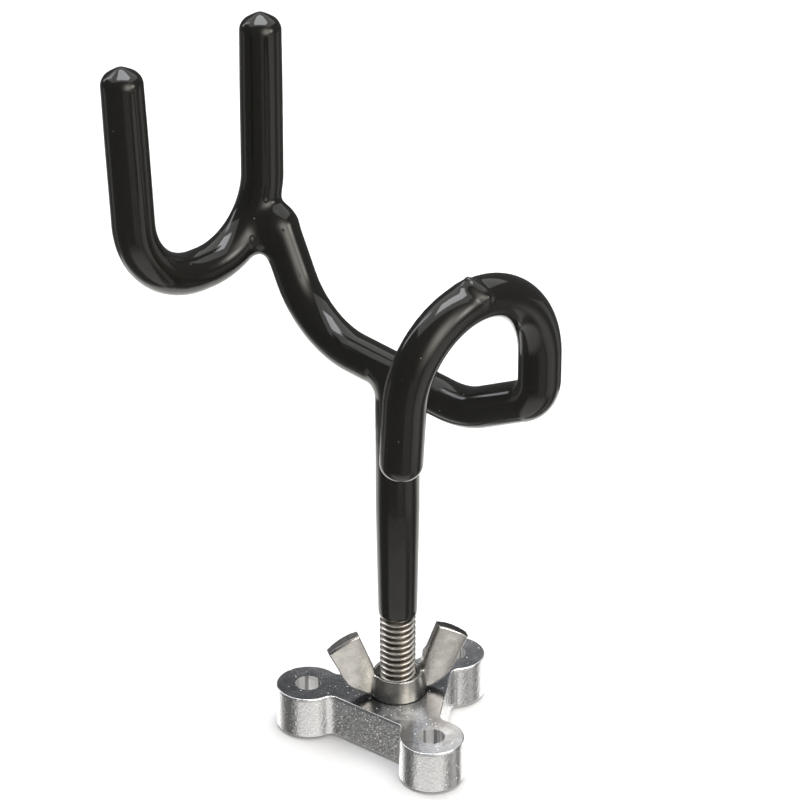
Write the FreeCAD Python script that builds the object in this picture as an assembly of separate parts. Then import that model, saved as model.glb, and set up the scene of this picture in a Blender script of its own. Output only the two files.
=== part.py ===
import FreeCAD, Part
import math
import os

from FreeCAD import Vector

# Rod holder: a bent steel cradle on a threaded stem, dipped in black vinyl, screwed into a
# three-eared aluminium base and locked there by a wing nut.
# Millimetres. +Z up, +Y towards the fork, which is where the fishing rod points.
# The origin is on the stem's axis, on the base's underside.

# Base: a triangular block with a drilled round ear on each corner.
BASE_HEIGHT = 9.8
BOLT_CIRCLE_R = 20.0
EAR_R = 7.0
EAR_HOLE_R = 2.9
EAR_COUNT = 3
EAR_STEP_DEG = 360 / EAR_COUNT
FIRST_EAR_DEG = 7.0            # the base is turned a little against the holder
FLAT_OFFSET = 10.7             # from the stem's axis to each flat side
NECK_R = 2.2                   # hollow corner between a flat side and an ear
BASE_EDGE_R = 0.25

# Steel rod: one stock for the stem, the loop and the fork. The stem's foot has a 5/16-18 thread.
ROD_R = 3.97
ROD_END_R = 2.5                # rounding of the cut ends
THREAD_R = 3.93
THREAD_PITCH = 1.411
THREAD_DEPTH = 0.61 * THREAD_PITCH
THREAD_FLANK = 0.44 * THREAD_PITCH   # height of one side of the groove
THREAD_TOP = 34.5              # the thread runs on a little under the coating
STEM_FOOT = 0.6                # the stem stops short of the base's underside
RUNNING_GAP = 0.05             # radial clearance of the base's and the nut's bore on the thread

# Wing nut
NUT_TURN_DEG = -30.5           # where its wings stand, from +X
NUT_FOOT_R = 6.15
NUT_TOP_R = 5.4
NUT_HEIGHT = 5.15
NUT_COUNTERSINK_R = 4.9
NUT_COUNTERSINK_DEPTH = 1.1
WING_HALF_THICKNESS = 1.55     # at the middle of the wing's width
WING_EDGE_HALF_THICKNESS = 1.15
WING_EDGE_R = 0.4

# The wing's outline: X out from the stem's axis, Z up from the nut's foot.
WING_INNER_FOOT = (4.6, 4.0)
WING_INNER_RIM = (5.5, 7.4)
WING_INNER_TOP = (8.95, 15.9)
WING_TOP_MIDDLE = (12.5, 14.45)
WING_OUTER_TOP = (15.75, 12.2)
WING_OUTER_SIDE = (13.7, 8.1)
WING_OUTER_CURVE = (11.5, 3.8)
WING_OUTER_FOOT = (5.4, 0.35)

# The wing's thickness is drawn about a line that leans out up its middle.
WING_MIDDLE = (9.7, 8.4)
WING_LEAN = (3.4, 8.3)
WING_HALF_WIDTH = 5.2
WING_REACH = 15.0

# Main bent rod: it lies in the plane X = 0 from the fork back past the stem, rises, and
# arches over to -X. Heights are measured from the base's underside.
FORK_PLANE_Y = 41.3
FORK_END_Y = 37.0              # where the rod is cut and welded to the fork
FRONT_BEND_Y = 25.2
FRONT_BEND_Z = 88.95
FRONT_BEND_R = 21.8
FORK_SLOPE_DEG = 62.5          # how steeply the rod climbs to the fork
REAR_DIP_Y = -20.0
REAR_DIP_Z = 87.35
REAR_DIP_R = 22.0
ARCH_PLANE_Y = -40.75
ARCH_FOOT_Z = 97.75
ARCH_FOOT_R = 7.75
ARCH_TOP_Z = 126.35
ARCH_WIDTH = 37.0
ARCH_NEAR_R = 18.7
ARCH_FAR_R = 17.2
ARCH_END_X = -35.4             # the free limb leans in and towards the stem
ARCH_END_Y = -37.0
ARCH_END_Z = 92.95

# Fork: a U of rod standing in the plane Y = FORK_PLANE_Y, its right tine over the main rod
FORK_WIDTH = 35.3
FORK_BOTTOM_Z = 104.65
FORK_BEND_R = 17.3
RIGHT_TINE_TOP_Z = 155.35
LEFT_TINE_TOP_Z = 154.05
RIGHT_SPLAY_DEG = 0.4
LEFT_SPLAY_DEG = 2.9

# Weld beads
FORK_WELD_Y = 37.4
FORK_WELD_Z = 110.9
FORK_WELD_R = 3.4
STEM_WELD_REACH = 1.5          # how far the bead stands out from the stem at its top
STEM_WELD_HEIGHT = 3.6
STEM_WELD_HALF_WIDTH = 3.9     # it stays under the main rod
STEM_WELD_SINK = 1.4           # how far its top stands below the main rod's axis

# Vinyl coating: outer radii and end shapes
FORK_COAT_R = 4.55
LOOP_COAT_R = 4.38
STEM_COAT_TOP_R = 4.75
STEM_COAT_FOOT_R = 4.3
STEM_COAT_FOOT_Z = BASE_HEIGHT + 19.75
STEM_COAT_FULL_Z = BASE_HEIGHT + 46.45
FOOT_LIP = 1.6                 # length over which the coating's foot thins onto the thread
FOOT_FEATHER = 0.08            # what is left of its thickness there
END_COAT = 0.8                 # thickness over each cut rod end
END_ROUNDING = 3.2
WELD_COAT = 0.65
NIB_R = 1.9
NIB_TIP_R = 0.45
NIB_HEIGHT = 1.9
NIB_SINK = 0.95                # how deep its cone starts in the coating

END_MATCH = 0.5                # an edge this near an end of a bar is that end's
THIN = 1e-6

UP = Vector(0, 0, 1)
ORIGIN = Vector(0, 0, 0)


def at_angle(radius, degrees, z=0.0):
    angle = math.radians(degrees)
    return Vector(radius * math.cos(angle), radius * math.sin(angle), z)


def bent_path(corners, bend_radii):
    """A wire of straight runs joined by tangent arcs at the inner corners."""
    edges = []
    start = corners[0]
    for before, corner, after, radius in zip(corners, corners[1:], corners[2:], bend_radii):
        back = (before - corner).normalize()
        onward = (after - corner).normalize()
        half = back.getAngle(onward) / 2
        middle = (back + onward).normalize()
        arc_start = corner + back * (radius / math.tan(half))
        arc_end = corner + onward * (radius / math.tan(half))
        arc_middle = corner + middle * (radius / math.sin(half) - radius)
        edges.append(Part.makeLine(start, arc_start))
        edges.append(Part.Arc(arc_start, arc_middle, arc_end).toShape())
        start = arc_end
    edges.append(Part.makeLine(start, corners[-1]))
    return Part.Wire(edges)


def tube(corners, bend_radii, radius):
    """A round bar along a bent path."""
    along = (corners[1] - corners[0]).normalize()
    ring = Part.Wire(Part.makeCircle(radius, corners[0], along))
    return bent_path(corners, bend_radii).makePipeShell([ring], True, False)


def end_edges(solid, centre):
    """The closed edges around an end of a bar."""
    return [e for e in solid.Edges if e.isClosed() and (e.CenterOfMass - centre).Length < END_MATCH]


def rounded_tube(corners, bend_radii, radius, ends, rounding):
    """A bar whose given ends are rounded over."""
    bar = tube(corners, bend_radii, radius)
    edges = []
    for end in ends:
        edges += end_edges(bar, end)
    return bar.makeFillet(rounding, edges)


def stretched(corners, first, last):
    """The same path with its first and last runs made longer by the given lengths."""
    start = corners[0] + (corners[0] - corners[1]).normalize() * first
    end = corners[-1] + (corners[-1] - corners[-2]).normalize() * last
    return [start] + corners[1:-1] + [end]


# ---- paths ----

def loop_corners():
    climb = math.radians(FORK_SLOPE_DEG)
    rise = (FORK_END_Y - FRONT_BEND_Y) * math.tan(climb)
    return [
        Vector(0, FORK_END_Y, FRONT_BEND_Z + rise),
        Vector(0, FRONT_BEND_Y, FRONT_BEND_Z),
        Vector(0, REAR_DIP_Y, REAR_DIP_Z),
        Vector(0, ARCH_PLANE_Y, ARCH_FOOT_Z),
        Vector(0, ARCH_PLANE_Y, ARCH_TOP_Z),
        Vector(-ARCH_WIDTH, ARCH_PLANE_Y, ARCH_TOP_Z),
        Vector(ARCH_END_X, ARCH_END_Y, ARCH_END_Z),
    ]


LOOP_BENDS = [FRONT_BEND_R, REAR_DIP_R, ARCH_FOOT_R, ARCH_NEAR_R, ARCH_FAR_R]


def fork_corners():
    right_rise = RIGHT_TINE_TOP_Z - FORK_BOTTOM_Z
    left_rise = LEFT_TINE_TOP_Z - FORK_BOTTOM_Z
    right_lean = right_rise * math.tan(math.radians(RIGHT_SPLAY_DEG))
    left_lean = left_rise * math.tan(math.radians(LEFT_SPLAY_DEG))
    return [
        Vector(right_lean, FORK_PLANE_Y, RIGHT_TINE_TOP_Z),
        Vector(0, FORK_PLANE_Y, FORK_BOTTOM_Z),
        Vector(-FORK_WIDTH, FORK_PLANE_Y, FORK_BOTTOM_Z),
        Vector(-FORK_WIDTH - left_lean, FORK_PLANE_Y, LEFT_TINE_TOP_Z),
    ]


FORK_BENDS = [FORK_BEND_R, FORK_BEND_R]


def stem_joint_z():
    """Height of the main rod's axis over the stem."""
    slope = (FRONT_BEND_Z - REAR_DIP_Z) / (FRONT_BEND_Y - REAR_DIP_Y)
    return REAR_DIP_Z - slope * REAR_DIP_Y


# ---- base ----

def base():
    corner_r = 2 * FLAT_OFFSET
    corners = [at_angle(corner_r, FIRST_EAR_DEG + EAR_STEP_DEG * i) for i in range(EAR_COUNT)]
    block = Part.Face(Part.makePolygon(corners + corners[:1])).extrude(UP * BASE_HEIGHT)
    ears = []
    for i in range(EAR_COUNT):
        centre = at_angle(BOLT_CIRCLE_R, FIRST_EAR_DEG + EAR_STEP_DEG * i)
        ears.append(Part.makeCylinder(EAR_R, BASE_HEIGHT, centre))
    body = block.fuse(ears).removeSplitter()
    necks = [e for e in body.Edges if is_neck(e)]
    body = body.makeFillet(NECK_R, necks)
    rims = [e for e in body.Edges if abs(e.BoundBox.ZLength) < THIN]
    body = body.makeFillet(BASE_EDGE_R, rims)
    holes = [Part.makeCylinder(THREAD_R + RUNNING_GAP, BASE_HEIGHT)]
    for i in range(EAR_COUNT):
        centre = at_angle(BOLT_CIRCLE_R, FIRST_EAR_DEG + EAR_STEP_DEG * i)
        holes.append(Part.makeCylinder(EAR_HOLE_R, BASE_HEIGHT, centre))
    return body.cut(holes)


def is_neck(edge):
    """An upright edge of the base where a flat side runs into an ear."""
    upright = edge.BoundBox.ZLength > BASE_HEIGHT / 2
    middle = edge.CenterOfMass
    reach = math.hypot(middle.x, middle.y)
    return upright and FLAT_OFFSET < reach < BOLT_CIRCLE_R - NECK_R and len(edge.Vertexes) == 2


# ---- stem ----

def stem():
    """A rod with a thread on its foot, drawn as rings at the thread's pitch."""
    root_r = THREAD_R - THREAD_DEPTH
    crest = THREAD_PITCH - 2 * THREAD_FLANK
    outline = [Vector(0, 0, STEM_FOOT), Vector(root_r, 0, STEM_FOOT)]
    turns = int((THREAD_TOP - STEM_FOOT) / THREAD_PITCH)
    for turn in range(turns):
        z = STEM_FOOT + turn * THREAD_PITCH
        outline.append(Vector(THREAD_R, 0, z + THREAD_FLANK))
        outline.append(Vector(THREAD_R, 0, z + THREAD_FLANK + crest))
        outline.append(Vector(root_r, 0, z + THREAD_PITCH))
    shoulder_z = STEM_FOOT + turns * THREAD_PITCH + THREAD_DEPTH
    top_z = stem_joint_z()
    outline.append(Vector(ROD_R, 0, shoulder_z))
    outline.append(Vector(ROD_R, 0, top_z))
    outline.append(Vector(0, 0, top_z))
    face = Part.Face(Part.makePolygon(outline + outline[:1]))
    return face.revolve(ORIGIN, UP, 360).cut(loop_bar())


# ---- bent rods ----

def loop_bar():
    corners = loop_corners()
    return rounded_tube(corners, LOOP_BENDS, ROD_R, [corners[-1]], ROD_END_R)


def fork_bar():
    corners = fork_corners()
    return rounded_tube(corners, FORK_BENDS, ROD_R, [corners[0], corners[-1]], ROD_END_R)


def fork_rod():
    return fork_bar()


def loop_rod():
    """The main rod, its front end coped to sit against the fork."""
    return loop_bar().cut(fork_bar())


# ---- welds ----

def fork_weld():
    bead = Part.makeSphere(FORK_WELD_R, Vector(0, FORK_WELD_Y, FORK_WELD_Z))
    return largest(bead.cut([fork_bar(), loop_bar()]))


def flared_collar(foot_r, reach, height, half_width):
    """A cone that widens up to the main rod, front and back of the stem but not beside it."""
    foot_z = stem_joint_z() - STEM_WELD_SINK - height
    cone = Part.makeCone(foot_r, ROD_R + reach, height, Vector(0, 0, foot_z))
    corner = Vector(-half_width, -2 * ROD_R, foot_z)
    return cone.common(Part.makeBox(2 * half_width, 4 * ROD_R, height, corner))


def stem_weld():
    """The bead's front and back halves, which are separate solids."""
    bead = flared_collar(ROD_R, STEM_WELD_REACH, STEM_WELD_HEIGHT, STEM_WELD_HALF_WIDTH)
    return bead.cut([Part.makeCylinder(ROD_R, 2 * stem_joint_z()), loop_bar()])


def largest(shape):
    return max(shape.Solids, key=lambda s: s.Volume)


# ---- vinyl coating ----

def nib(tip, direction):
    """The drip that sets where the vinyl last ran off."""
    foot = tip - direction * NIB_SINK
    cone = Part.makeCone(NIB_R, NIB_TIP_R, NIB_HEIGHT + NIB_SINK - NIB_TIP_R, foot, direction)
    ball = Part.makeSphere(NIB_TIP_R, tip + direction * (NIB_HEIGHT - NIB_TIP_R))
    return cone.fuse(ball)


def fork_skin():
    corners = stretched(fork_corners(), END_COAT, END_COAT)
    ends = [corners[0], corners[-1]]
    skin = rounded_tube(corners, FORK_BENDS, FORK_COAT_R, ends, END_ROUNDING)
    nibs = []
    for tip, below in ((corners[0], corners[1]), (corners[-1], corners[-2])):
        nibs.append(nib(tip, (tip - below).normalize()))
    return skin.fuse(nibs)


def loop_skin():
    corners = stretched(loop_corners(), END_COAT, END_COAT)
    return rounded_tube(corners, LOOP_BENDS, LOOP_COAT_R, [corners[-1]], END_ROUNDING)


def stem_skin():
    top_z = stem_joint_z()
    outline = [
        Vector(0, 0, STEM_COAT_FOOT_Z),
        Vector(ROD_R + FOOT_FEATHER, 0, STEM_COAT_FOOT_Z),
        Vector(STEM_COAT_FOOT_R, 0, STEM_COAT_FOOT_Z + FOOT_LIP),
        Vector(STEM_COAT_TOP_R, 0, STEM_COAT_FULL_Z),
        Vector(STEM_COAT_TOP_R, 0, top_z),
        Vector(0, 0, top_z),
    ]
    face = Part.Face(Part.makePolygon(outline + outline[:1]))
    return face.revolve(ORIGIN, UP, 360)


def weld_skins():
    over_fork = Part.makeSphere(FORK_WELD_R + WELD_COAT, Vector(0, FORK_WELD_Y, FORK_WELD_Z))
    over_stem = flared_collar(
        STEM_COAT_TOP_R,
        STEM_WELD_REACH + WELD_COAT,
        STEM_WELD_HEIGHT + WELD_COAT,
        STEM_WELD_HALF_WIDTH + WELD_COAT,
    )
    return [over_fork, over_stem]


def vinyl_coating():
    """One continuous dipped skin over the rods and the welds."""
    outside = fork_skin().fuse([loop_skin(), stem_skin()] + weld_skins())
    return largest(outside.cut([fork_rod(), loop_rod(), stem(), fork_weld(), stem_weld()]))


# ---- wing nut ----

def out_up(place):
    return Vector(place[0], 0, place[1])


def wing_face():
    """The wing's outline in the X-Z plane."""
    edges = [
        Part.makeLine(out_up(WING_INNER_FOOT), out_up(WING_INNER_RIM)),
        Part.makeLine(out_up(WING_INNER_RIM), out_up(WING_INNER_TOP)),
        Part.Arc(out_up(WING_INNER_TOP), out_up(WING_TOP_MIDDLE), out_up(WING_OUTER_TOP)).toShape(),
        Part.makeLine(out_up(WING_OUTER_TOP), out_up(WING_OUTER_SIDE)),
        Part.Arc(out_up(WING_OUTER_SIDE), out_up(WING_OUTER_CURVE), out_up(WING_OUTER_FOOT)).toShape(),
        Part.makeLine(out_up(WING_OUTER_FOOT), out_up(WING_INNER_FOOT)),
    ]
    return Part.Face(Part.Wire(edges))


def lens_prism():
    """A long bar of lens section along the wing, so that the wing is thinner at its two edges."""
    lean = out_up(WING_LEAN).normalize()
    across = Vector(lean.z, 0, -lean.x) * WING_HALF_WIDTH
    middle = out_up(WING_MIDDLE)
    sides = []
    for sign in (1, -1):
        edge_offset = Vector(0, sign * WING_EDGE_HALF_THICKNESS, 0)
        crown = middle + Vector(0, sign * WING_HALF_THICKNESS, 0)
        sides.append((middle - across + edge_offset, crown, middle + across + edge_offset))
    front, back = sides
    edges = [
        Part.Arc(*front).toShape(),
        Part.makeLine(front[2], back[2]),
        Part.Arc(*back).toShape(),
        Part.makeLine(back[0], front[0]),
    ]
    wire = Part.Wire(Part.__sortEdges__(edges))
    wire.translate(lean * -WING_REACH)
    return Part.Face(wire).extrude(lean * (2 * WING_REACH))


def wing_nut():
    body = Part.makeCone(NUT_FOOT_R, NUT_TOP_R, NUT_HEIGHT)
    wing = wing_face()
    wing.translate(Vector(0, -2 * WING_HALF_THICKNESS, 0))
    wing = wing.extrude(Vector(0, 4 * WING_HALF_THICKNESS, 0)).common(lens_prism())
    rims = [e for e in wing.Edges if e.CenterOfMass.x > NUT_FOOT_R]
    wing = wing.makeFillet(WING_EDGE_R, rims)
    other = wing.copy()
    other.rotate(ORIGIN, UP, 180)
    nut = body.fuse([wing, other])
    sink = Part.makeCone(THREAD_R, NUT_COUNTERSINK_R, NUT_COUNTERSINK_DEPTH,
                         Vector(0, 0, NUT_HEIGHT - NUT_COUNTERSINK_DEPTH))
    mouth = Part.makeCylinder(NUT_COUNTERSINK_R, NUT_HEIGHT, Vector(0, 0, NUT_HEIGHT))
    bore = Part.makeCylinder(THREAD_R + RUNNING_GAP, NUT_HEIGHT)
    nut = nut.cut([sink, mouth, bore])
    nut.rotate(ORIGIN, UP, NUT_TURN_DEG)
    nut.translate(UP * BASE_HEIGHT)
    return nut


NODES = {
    "base": base,
    "stem": stem,
    "loop_rod": loop_rod,
    "fork_rod": fork_rod,
    "fork_weld": fork_weld,
    "stem_weld": stem_weld,
    "vinyl_coating": vinyl_coating,
    "wing_nut": wing_nut,
}


def main():
    os.makedirs("parts", exist_ok=True)
    for name, make in NODES.items():
        shape = make()
        solids = shape.Solids
        print(name, len(solids), "solid(s)", shape.isValid(), round(shape.Volume, 1), "mm3")
        shape.exportStep("parts/" + name + ".step")


main()
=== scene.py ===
import math

import bmesh
import bpy
import numpy as np
from mathutils import Matrix, Vector


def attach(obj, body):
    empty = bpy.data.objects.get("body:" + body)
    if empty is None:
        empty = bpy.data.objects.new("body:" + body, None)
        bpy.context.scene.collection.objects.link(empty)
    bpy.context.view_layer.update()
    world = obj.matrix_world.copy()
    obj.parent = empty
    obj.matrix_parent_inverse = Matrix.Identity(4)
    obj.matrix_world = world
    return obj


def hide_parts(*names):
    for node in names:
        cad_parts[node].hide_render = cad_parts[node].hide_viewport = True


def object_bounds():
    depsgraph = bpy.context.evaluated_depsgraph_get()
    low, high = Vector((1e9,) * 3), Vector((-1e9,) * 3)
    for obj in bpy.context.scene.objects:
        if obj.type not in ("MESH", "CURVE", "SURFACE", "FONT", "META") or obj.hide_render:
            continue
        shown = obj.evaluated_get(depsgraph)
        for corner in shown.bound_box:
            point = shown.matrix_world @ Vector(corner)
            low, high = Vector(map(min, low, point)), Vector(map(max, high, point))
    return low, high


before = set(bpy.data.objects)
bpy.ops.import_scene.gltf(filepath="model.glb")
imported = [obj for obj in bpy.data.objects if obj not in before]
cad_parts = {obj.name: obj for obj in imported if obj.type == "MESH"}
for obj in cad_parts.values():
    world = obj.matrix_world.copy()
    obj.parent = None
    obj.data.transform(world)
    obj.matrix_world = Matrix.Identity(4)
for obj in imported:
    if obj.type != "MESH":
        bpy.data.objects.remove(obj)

# Rod holder: a bent steel cradle dipped in glossy black vinyl, on a threaded stem, an eared
# aluminium base and a wing nut. Metres unless a name ends in _MM. The coating and the nut are
# worked out as fields in millimetres, then their meshes are scaled to metres.

MM = 0.001
CAD_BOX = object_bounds()

# ---- sizes shared with the CAD model ----

BASE_HEIGHT_MM = 9.8
EAR_COUNT = 3
FIRST_EAR_DEG = 7.0
BOLT_CIRCLE_R_MM = 20.0

STEM_FOOT_MM = 0.6
THREAD_R_MM = 3.93
THREAD_PITCH_MM = 1.411
THREAD_DEPTH_MM = 0.61 * THREAD_PITCH_MM
THREAD_TOP_MM = 34.5

LOOP_BENDS_MM = [21.8, 22.0, 7.75, 18.7, 17.2]
FORK_PLANE_MM = 41.3
FORK_END_MM = 37.0
FRONT_BEND_MM = (25.2, 88.95)
FORK_SLOPE_DEG = 62.5
REAR_DIP_MM = (-20.0, 87.35)
ARCH_PLANE_MM = -40.75
ARCH_FOOT_Z_MM = 97.75
ARCH_TOP_Z_MM = 126.35
ARCH_WIDTH_MM = 37.0
ARCH_END_MM = (-35.4, -37.0, 92.95)

FORK_WIDTH_MM = 35.3
FORK_BOTTOM_Z_MM = 104.65
FORK_BENDS_MM = [17.3, 17.3]
RIGHT_TINE_TOP_MM = 155.35
LEFT_TINE_TOP_MM = 154.05
RIGHT_SPLAY_DEG = 0.4
LEFT_SPLAY_DEG = 2.9

FORK_COAT_R_MM = 4.55
LOOP_COAT_R_MM = 4.38
COAT_FOOT_Z_MM = BASE_HEIGHT_MM + 19.75
FORK_WELD_MM = (0.0, 37.4, 110.9)
FORK_WELD_R_MM = 3.4

NUT_TURN_DEG = -30.5
NUT_FOOT_R_MM = 6.15
NUT_TOP_R_MM = 5.4
NUT_HEIGHT_MM = 5.15
NUT_BORE_R_MM = 3.98

# ---- details of the coating ----

# On the stem: height above the coating's foot, and the coating's radius there.
COAT_PROFILE_MM = ((0.0, 4.05), (0.7, 4.22), (2.0, 4.3), (26.7, 4.75), (70.0, 4.75))
COAT_FOOT_ROUNDING_MM = 0.45
# Over the arch's free end, and over the main rod's end in the fork joint.
END_COAT_MM = 0.8
END_ROUNDING_MM = 3.2
JOINT_COAT_MM = 1.6
JOINT_DOME_R_MM = 7.0
JOINT_ROUNDING_MM = 1.2
# The blunt tent of vinyl on a tine's tip, and the taper below it over which the tine slims.
TENT_APEX_MM = 2.6
TENT_SLOPE = 0.62
TENT_SHOULDER_MM = 1.35
TENT_POINT_MM = 0.6
TENT_TAPER_MM = 14.0
TENT_SLIMMING_MM = 0.1
# Over the weld between fork and main rod.
WELD_COAT_MM = 0.65

# How wide the soft web is where two parts of the coating meet.
FORK_WEB_MM = 4.6
WELD_WEB_MM = 2.0
STEM_WEB_MM = 2.6

# Marks of dipping. Each: start, end, radius at the start, radius at the end, width of its web.
JOINT_GROOVE_MM = ((-3.9, 37.6, 110.7), (-4.9, 39.0, 107.5), 0.8, 1.0, 0.6)
JOINT_BEAD_MM = ((-3.3, 37.3, 112.6), (-4.1, 38.3, 112.6), 0.8, 0.7, 0.7)
DRIP_X_MM = -20.9
CREST_Z_MM = ARCH_TOP_Z_MM + LOOP_COAT_R_MM
ARCH_DRIP_MM = (
    (DRIP_X_MM, ARCH_PLANE_MM, CREST_Z_MM - 1.7),
    (DRIP_X_MM, ARCH_PLANE_MM, CREST_Z_MM + 0.75),
    2.5, 0.55, 1.7,
)
ARCH_RIDGE_MM = (
    (DRIP_X_MM + 0.3, ARCH_PLANE_MM - 1.0, CREST_Z_MM - 0.9),
    (DRIP_X_MM + 1.6, ARCH_PLANE_MM - 3.5, ARCH_TOP_Z_MM + 2.0),
    1.35, 0.9, 1.5,
)

# Balls added to the seed tubes, at the fork joint and the arch's drip: centre and radius.
WEB_SEEDS_MM = [
    ((0, 37.8, 111.2), 5.6),
    ((0, 37.4, 108.6), 5.0),
    ((DRIP_X_MM, ARCH_PLANE_MM, 130.2), 1.9),
]

# ---- details of the thread and the wing nut ----

CREST_SHARE = 0.14              # of half a turn of the thread
FLANK_SHARE = 0.70
FLANK_SOFTNESS = 0.35
THREAD_LEAD_SLOPE = 0.9         # of the chamfer at the stem's foot
THREAD_GRIME_MM = (3.3, 3.86)   # the grime thins out between these radii

NUT_ROUNDING_MM = 0.2
SINK_DEPTH_MM = 1.15
SINK_REACH_MM = 1.3
SINK_SLOPE = 0.75
BORE_BELOW_MM = 1.0
SINK_SEED_MM = (0.9, 1.2)       # width and depth

# One wing, seen flat: distance from the nut's axis, height above its foot.
WING_OUTLINE_MM = [
    (4.7, 2.6), (5.3, 5.6), (5.7, 7.6),
    (8.95, 15.9), (10.8, 15.3), (12.5, 14.45), (14.2, 13.4), (15.75, 12.2),
    (14.8, 10.3), (13.7, 8.1), (12.8, 5.9), (11.5, 3.8), (9.6, 2.1), (7.6, 1.0), (5.0, 0.35),
]
WING_MIDDLE_MM = (9.7, 8.4)
WING_LEAN = (3.4, 8.3)
WING_HALF_THICKNESS_MM = 1.1
WING_CROWN_MM = 0.45
WING_HALF_WIDTH_MM = 4.6
WING_ROUNDING_MM = 0.45
WING_WEB_MM = 1.0
CONE_END_MM = (6.4, 7.2)        # where the cone's tone gives way to the wings'

# ---- how finely the fields are meshed ----

VINYL_VOXEL_MM = 0.38
NUT_VOXEL_MM = 0.15
SOFTEN_ROUNDS = 8
FIRST_PULLS = 4
RELAX_ROUNDS = 5
RELAX_PULLS = 2
LONGEST_PULL_MM = 0.5
LEAST_SLOPE = 0.5               # a field flatter than this is taken to be this steep
BEND_STEPS = 16
SEED_GAP_MM = 0.3               # the least between two points of a seed tube
LOOP_SEED_REACH_MM = END_COAT_MM - 0.4
FORK_SEED_REACH_MM = 1.0
STEM_SEED_R_MM = 4.4

# ---- marks on the base, and the painted light on it ----

BASE_TOP_EDGE_MM = (9.1, 9.5)   # the grain ends between these heights
WEB_END_MM = (13.8, 15.0)       # and thins out between these distances from the middle
# Radii round each hole within which its walls get the painted reflection.
HOLE_RIM_MM = (3.1, 3.2)
# Painted highlight on the top in front of the nut: its centre, and the radii over which it fades out.
NUT_FRONT_HIGHLIGHT_MM = (-5.9, -7.7)
NUT_FRONT_HIGHLIGHT_R_MM = (2.0, 5.5)
# Width of the painted shadow round the nut's foot.
CONTACT_SHADOW_WIDTH_MM = 0.5
RINGS_PER_M = 5200.0

# ---- colours ----

VINYL_BLACK = (0.0115, 0.0112, 0.0098)
VINYL_DUST = (0.20, 0.19, 0.17)
THREAD_BRIGHT = (0.70, 0.67, 0.62)
THREAD_GRIME = (0.085, 0.07, 0.055)
NICKEL_BRIGHT = (0.70, 0.68, 0.65)
NICKEL_BLOTCH = (0.55, 0.53, 0.50)
# Painted shade for the wings' narrow edges.
NICKEL_EDGE_SHADE = (0.16, 0.155, 0.15)
NICKEL_CONE = (0.24, 0.235, 0.225)
ALUMINIUM = (0.86, 0.86, 0.87)
ALUMINIUM_GRAIN = (0.36, 0.36, 0.37)
# Painted highlight on the top in front of the nut.
ALUMINIUM_PAINTED_HIGHLIGHT = (0.62, 0.62, 0.60)
# White for dust specks, painted glints and the holes' painted reflection.
DUST_AND_GLINT_WHITE = (0.97, 0.97, 0.97)
# Painted shade for the base's top, far darker than its sides.
TOP_SHADE_TONES = (0.98, 0.99, 1.03)
# Painted shadow round the nut's foot.
CONTACT_SHADOW_BLACK = (0.03, 0.03, 0.03)
# Dark upright stripes in the holes' painted reflection.
BORE_STRIPE_DARK = (0.14, 0.14, 0.15)
ROD_STEEL = (0.4, 0.39, 0.38)
WELD_STEEL = (0.33, 0.31, 0.3)
STEEL_GRAIN = (0.2, 0.19, 0.18)
FLOOR_TONES = ((0.86, 0.86, 0.86), (0.875, 0.875, 0.875))

# ---- camera, reflecting cards, glows and lights ----
# Bearings are from the camera's side of the object, positive to the camera's right.

CAMERA_AZIMUTH_DEG = -44.5
CAMERA_ELEVATION_DEG = 27.78
CAMERA_DISTANCE = 0.7596
CAMERA_AIM_HEIGHT = 0.08205
CAMERA_AIM_RIGHT = 0.0005
LENS_MM = 162.0

FLOOR_REACH = 6.0
FLOOR_GAP = 0.0006
REFLECTOR_R = 1.5
REFLECTOR_SIDES = 48
REFLECTOR_DEPTH = 0.06
REFLECTOR_TINT = (1.0, 0.985, 0.95)
# Distances from the middle between which the near cards give way to the far ones, and
# those between which the under cards fade out.
NEAR_EDGE = (0.25, 0.13)
UNDER_EDGE = (0.27, 0.23)
# Brightness between the cards.
NEAR_LEVEL = 0.14
FAR_LEVEL = 0.13

# Each card: bearing, half width and soft edge in degrees, brightness.
NEAR_CARDS = [
    (-3, 39, 24, 0.95),
    (78, 5, 9, 0.6),
    (-112, 6, 12, 0.5),
]
FAR_CARDS = [
    (60, 8, 26, 0.85),
    (16, 12, 9, 0.42),
    (112, 6, 10, 0.5),
    (-104, 4, 8, 0.45),
    (-140, 4, 8, 0.35),
]
UNDER_CARDS = [(180, 55, 25, 1.5)]

ROOM_TINT = (0.95, 0.97, 1.0)
ROOM_LEVEL = 0.11
# Each glow: bearing, elevation, tightness, brightness, tint.
GLOWS = [
    (38, 20, 16, 5.2, (1.0, 0.95, 0.86)),
    (66, 17, 90, 7.0, (1.0, 0.96, 0.9)),
]

AIM_HEIGHT = 0.1                # the lights point at this height
# Each light: bearing, elevation, distance, size, brightness, tint.
LIGHTS = {
    "key": (180, 82, 1.0, (0.75, 0.42), 6.5, (0.96, 0.97, 1.0)),
    "ceiling": (180, 72, 1.15, (2.6, 1.7), 1.2, (1, 1, 1)),
    "left_strip": (-122, 30, 1.0, (0.16, 0.7), 3.0, (0.95, 0.97, 1.0)),
    "rake": (168, 42, 1.0, (0.3, 0.3), 3.4, (1, 1, 1)),
    "fill": (180, 80, 2.2, (3.2, 3.2), 0.55, (1, 1, 1)),
}

# ---- fields: every shape is negative inside, positive outside, in millimetres ----


def unit(v):
    return v / np.linalg.norm(v)


def run_field(points, start, end, free_end=False):
    """Distance to a straight run. Past a free end the run goes on, for a cap to cut."""
    along = unit(end - start)
    length = np.linalg.norm(end - start)
    t = (points - start) @ along
    t = np.maximum(t, 0.0) if free_end else np.clip(t, 0.0, length)
    return np.linalg.norm(points - start - t[:, None] * along, axis=1)


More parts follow.
